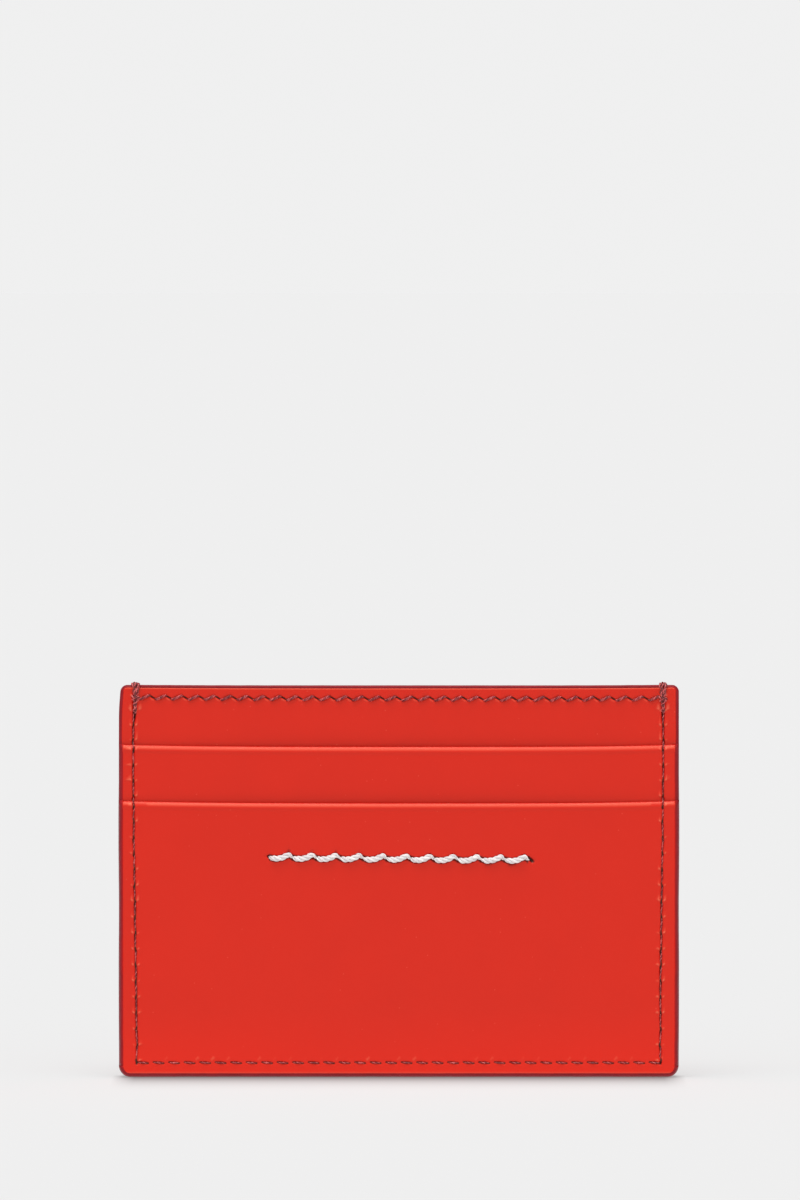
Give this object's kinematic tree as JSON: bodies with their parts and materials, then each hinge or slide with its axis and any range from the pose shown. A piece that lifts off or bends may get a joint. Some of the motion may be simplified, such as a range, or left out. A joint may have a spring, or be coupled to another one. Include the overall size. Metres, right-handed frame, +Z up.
{
  "type": "card holder",
  "caption": "Flat sewn leather card holder with stepped card slots on both faces, an open pocket between them, painted edges and a row of large contrast stitches.",
  "frame": {"origin": "middle of the base edge that it stands on, on the plane between the two leaves", "axes": "+X to the right along the width, +Y through the thickness from the front to the rear, +Z up towards the pocket mouths"},
  "size_m": [0.1, 0.0084, 0.0703],
  "materials": {
    "face_leather": "smooth semi-matte",
    "filler_leather": "raw skived",
    "lining_fabric": "plain weave",
    "edge_paint": "satin painted edge",
    "seam_thread": "waxed thread",
    "heavy_thread": "twisted thread",
    "contrast_cord": "twisted cord"
  },
  "bodies": {
    "root": {"front_outer_panel": "face_leather", "front_outer_lining": "lining_fabric", "front_outer_filler_left": "filler_leather", "front_outer_filler_right": "filler_leather", "front_outer_filler_base": "filler_leather", "front_mid_band": "face_leather", "front_mid_divider": "lining_fabric", "front_divider_hem": "lining_fabric", "front_inner_filler_left": "filler_leather", "front_inner_filler_right": "filler_leather", "front_inner_filler_base": "filler_leather", "front_inner_panel": "face_leather", "front_inner_lining": "lining_fabric", "front_top_thread": "heavy_thread", "front_top_edge_coat": "edge_paint", "rear_outer_panel": "face_leather", "rear_outer_lining": "lining_fabric", "rear_outer_filler_left": "filler_leather", "rear_outer_filler_right": "filler_leather", "rear_outer_filler_base": "filler_leather", "rear_mid_band": "face_leather", "rear_mid_divider": "lining_fabric", "rear_divider_hem": "lining_fabric", "rear_inner_filler_left": "filler_leather", "rear_inner_filler_right": "filler_leather", "rear_inner_filler_base": "filler_leather", "rear_inner_panel": "face_leather", "rear_inner_lining": "lining_fabric", "rear_top_thread": "heavy_thread", "rear_top_edge_coat": "edge_paint", "centre_filler_left": "filler_leather", "centre_filler_right": "filler_leather", "centre_filler_base": "filler_leather", "seam_thread_front": "seam_thread", "seam_thread_rear": "seam_thread", "contrast_thread": "contrast_cord", "corner_tack_left": "seam_thread", "corner_tack_right": "seam_thread", "edge_coat_left": "edge_paint", "edge_coat_right": "edge_paint", "edge_coat_base": "edge_paint"}
  },
  "joints": []
}
